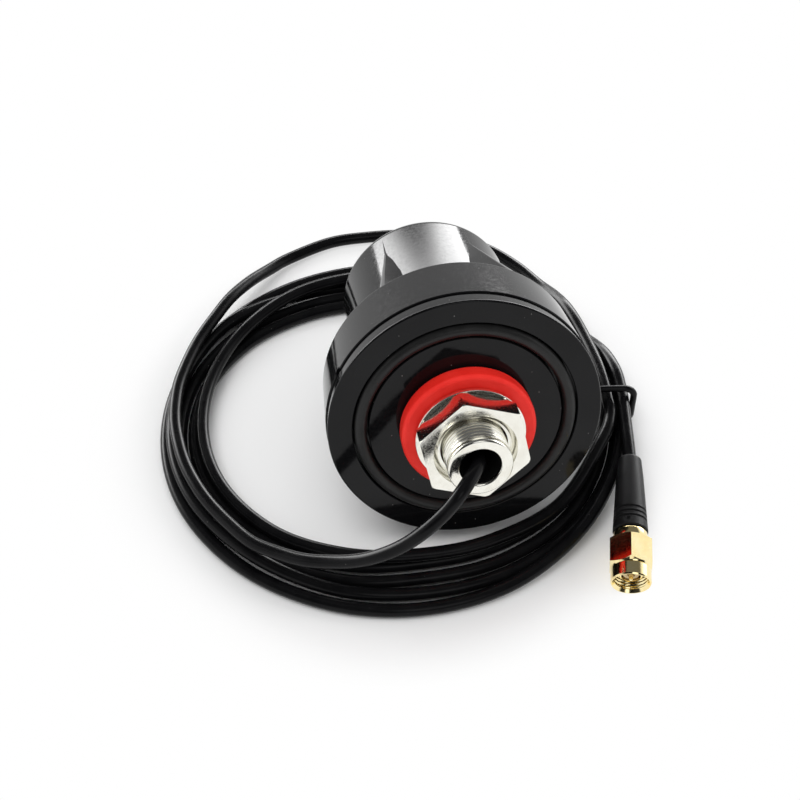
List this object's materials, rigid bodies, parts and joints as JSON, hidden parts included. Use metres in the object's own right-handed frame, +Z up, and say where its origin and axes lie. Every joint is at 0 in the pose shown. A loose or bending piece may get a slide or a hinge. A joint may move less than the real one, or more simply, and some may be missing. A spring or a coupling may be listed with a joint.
{
  "type": "stud-mount gsm antenna",
  "caption": "Round ribbed antenna with a hollow threaded mounting stud, sealing gasket and nut, on a thin coaxial lead coiled up and ending in a screw-on coaxial plug.",
  "frame": {"origin": "bottom centre of the antenna without its lead, on the surface that it lies on", "axes": "+Z up; +Y from the mounting stud towards the cap of the cover, level; +X to the right, towards the plug's side"},
  "size_m": [0.0986, 0.1106, 0.0534],
  "materials": {
    "gloss_black_plastic": "gloss",
    "seal_rubber": "matte",
    "cable_jacket": "satin",
    "boot_rubber": "satin",
    "red_silicone": "satin",
    "nickel_plate": "polished",
    "gold_plate": "polished",
    "brass_sheet": "satin",
    "tinned_steel": "satin",
    "bare_copper": "satin",
    "glass_epoxy": "satin",
    "white_dielectric": "matte"
  },
  "bodies": {
    "antenna": {"radome_cover": "gloss_black_plastic", "base_plate": "gloss_black_plastic", "face_seal_ring": "seal_rubber", "cover_seal_ring": "seal_rubber", "threaded_stud": "nickel_plate", "mount_gasket": "red_silicone", "flat_washer": "nickel_plate", "mount_nut": "nickel_plate", "ground_plane": "tinned_steel", "ground_screw_1": "tinned_steel", "ground_screw_2": "tinned_steel", "ground_screw_3": "tinned_steel", "ground_screw_4": "tinned_steel", "antenna_board": "glass_epoxy", "radiator": "brass_sheet", "feed_wire": "bare_copper", "cable_ferrule": "brass_sheet", "cable_grommet": "seal_rubber", "cable_inside": "cable_jacket", "lead_out": "cable_jacket", "cable_coil": "cable_jacket", "lead_tail": "cable_jacket", "cable_tie": "cable_jacket", "strain_boot": "boot_rubber", "crimp_ferrule": "tinned_steel", "connector_body": "gold_plate", "connector_dielectric": "white_dielectric", "centre_pin": "gold_plate", "connector_gasket": "seal_rubber", "retaining_ring": "tinned_steel"},
    "coupling": {"coupling_nut": "gold_plate"}
  },
  "joints": [
    {"name": "coupling_spin", "type": "hinge", "parent": "antenna", "child": "coupling", "pos_m": [0.028, -0.043, 0.0048], "axis": [0.2308, 0.9688, 0.0906], "continuous": true}
  ]
}
